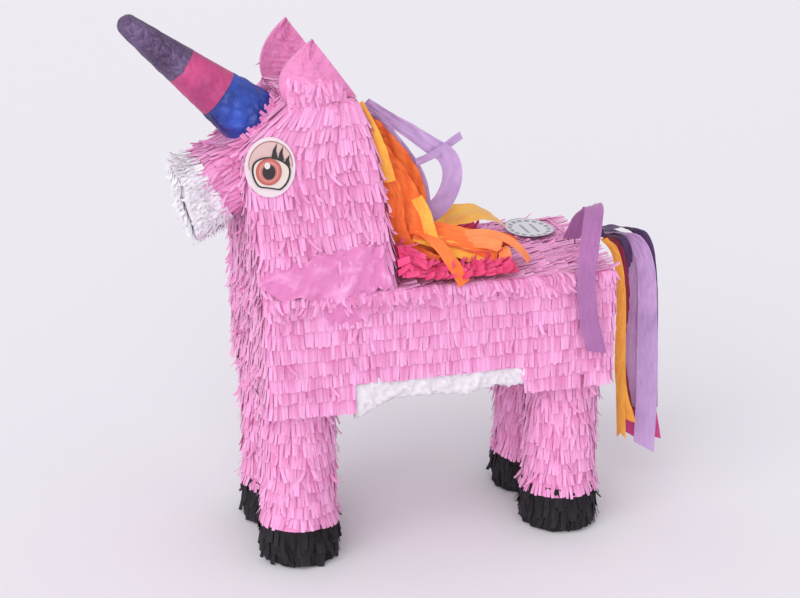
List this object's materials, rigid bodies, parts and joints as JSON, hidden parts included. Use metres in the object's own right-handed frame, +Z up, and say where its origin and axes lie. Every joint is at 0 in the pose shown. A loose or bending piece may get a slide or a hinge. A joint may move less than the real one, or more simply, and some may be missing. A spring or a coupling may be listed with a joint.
{
  "type": "unicorn pinata",
  "caption": "Free-standing hollow card unicorn party pinata in pink tissue fringe, with horn, streamer tail, fill flap and hanging ring.",
  "frame": {"origin": "on the ground under the middle of the whole outline, between the four hooves", "axes": "+Z up; the nose and horn point along -Y; the animal's left side is +X"},
  "size_m": [0.2106, 0.5921, 0.5843],
  "materials": {
    "brown_card": "matte",
    "tab_card": "matte",
    "pink_tissue": "matte",
    "pink_tissue_smooth": "matte",
    "white_tissue": "matte",
    "black_crepe": "matte",
    "red_tissue": "matte",
    "orange_tissue": "matte",
    "lilac_tissue": "matte",
    "purple_tissue": "matte",
    "purple_foil": "satin",
    "hot_pink_paper": "satin",
    "blue_paper": "satin",
    "printed_eye": "satin",
    "printed_label": "satin",
    "steel_wire": "satin"
  },
  "bodies": {
    "carcass": {"anchor_plate": "brown_card", "back_fringe": "pink_tissue", "belly_tissue_white": "white_tissue", "chest_fringe": "pink_tissue", "ear_left": "pink_tissue_smooth", "ear_right": "pink_tissue_smooth", "eye_sticker_left": "printed_eye", "eye_sticker_right": "printed_eye", "face_fringe": "pink_tissue", "foot_disc_front_left": "brown_card", "foot_disc_front_right": "brown_card", "foot_disc_rear_left": "brown_card", "foot_disc_rear_right": "brown_card", "head_fringe_left": "pink_tissue", "head_fringe_right": "pink_tissue", "head_side_left": "brown_card", "head_side_right": "brown_card", "head_wrap": "brown_card", "hoof_front_left": "black_crepe", "hoof_front_right": "black_crepe", "hoof_rear_left": "black_crepe", "hoof_rear_right": "black_crepe", "horn_core": "brown_card", "horn_wrap_blue": "blue_paper", "horn_wrap_pink": "hot_pink_paper", "horn_wrap_purple": "purple_foil", "leg_fringe_front_left": "pink_tissue", "leg_fringe_front_right": "pink_tissue", "leg_fringe_rear_left": "pink_tissue", "leg_fringe_rear_right": "pink_tissue", "leg_tube_front_left": "brown_card", "leg_tube_front_right": "brown_card", "leg_tube_rear_left": "brown_card", "leg_tube_rear_right": "brown_card", "mane_ribbons": "lilac_tissue", "mane_tissue": "orange_tissue", "muzzle_cap": "brown_card", "muzzle_fringe_pink": "pink_tissue", "muzzle_fringe_white": "white_tissue", "muzzle_wrap": "brown_card", "nape_fringe": "pink_tissue", "ring_tab": "tab_card", "rump_fringe": "pink_tissue", "rump_streamer": "lilac_tissue", "saddle_tissue": "red_tissue", "tail_tie": "steel_wire", "torso_back_panel": "brown_card", "torso_belly_panel": "brown_card", "torso_chest_panel": "brown_card", "torso_fringe_left": "pink_tissue", "torso_fringe_right": "pink_tissue", "torso_rump_panel": "brown_card", "torso_side_left": "brown_card", "torso_side_right": "brown_card"},
    "flap": {"fill_flap": "brown_card", "flap_fringe": "pink_tissue", "label": "printed_label"},
    "ring": {"hanging_ring": "steel_wire"},
    "tail": {"tail_knot": "purple_tissue", "tail_ribbons": "lilac_tissue"}
  },
  "joints": [
    {"name": "flap_hinge", "type": "hinge", "parent": "carcass", "child": "flap", "pos_m": [-0.048, 0.1872, 0.3116], "axis": [-1, 0, 0], "range_deg": [0, 110]},
    {"name": "ring_swing", "type": "hinge", "parent": "carcass", "child": "ring", "pos_m": [0, 0.045, 0.325], "axis": [1, 0, 0], "range_deg": [0, 180]},
    {"name": "tail_swing", "type": "hinge", "parent": "carcass", "child": "tail", "pos_m": [0, 0.218, 0.318], "axis": [1, 0, 0], "range_deg": [0, 75]}
  ]
}
